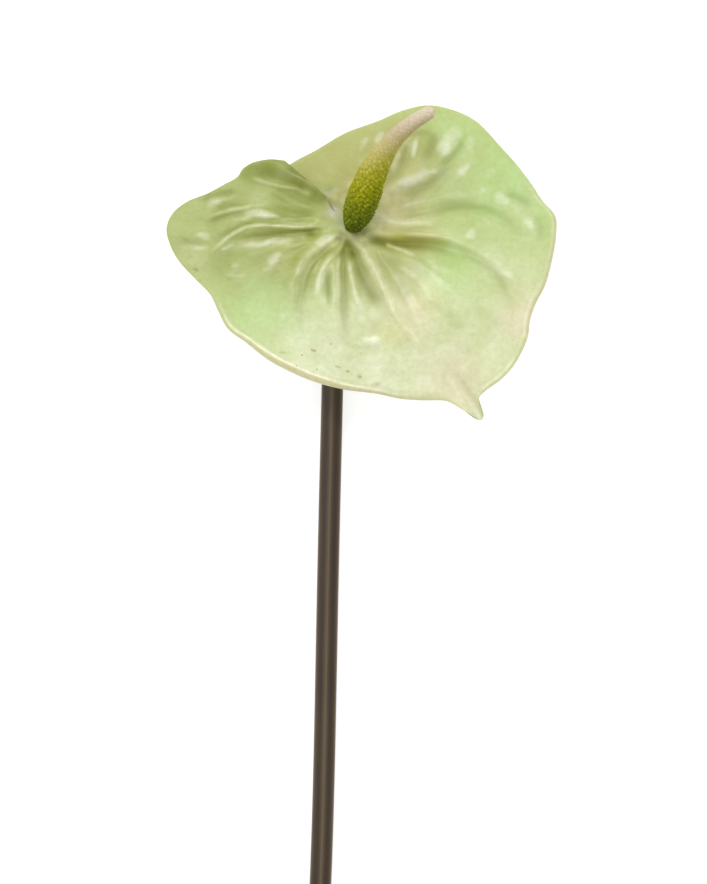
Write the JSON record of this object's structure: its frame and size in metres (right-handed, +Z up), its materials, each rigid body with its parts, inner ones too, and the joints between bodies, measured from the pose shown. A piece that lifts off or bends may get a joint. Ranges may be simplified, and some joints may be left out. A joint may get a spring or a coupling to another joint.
{
  "type": "anthurium cut flower",
  "caption": "Anthurium cut flower lying on its back: a ribbed stem, a heart-shaped spathe with folded veins and rolled margins, and a curved spadix of tiny florets.",
  "frame": {"origin": "middle of the space that the flower covers on the surface, at the surface's height", "axes": "+Y from the stem's cut end towards the flower head, +Z up from the surface, +X to the right as seen from above with the head away from the viewer"},
  "size_m": [0.1222, 0.3738, 0.0573],
  "materials": {
    "stem": "smooth brown skin with darker grooves between low ribs",
    "spathe": "waxy and glossy, pale yellow-green with cream and green flushes",
    "spadix": "rough with florets, green at the base, yellow-green, then pale pink at the tip"
  },
  "bodies": {
    "root": {"stem": "stem", "spathe": "spathe", "spadix": "spadix"}
  },
  "joints": []
}
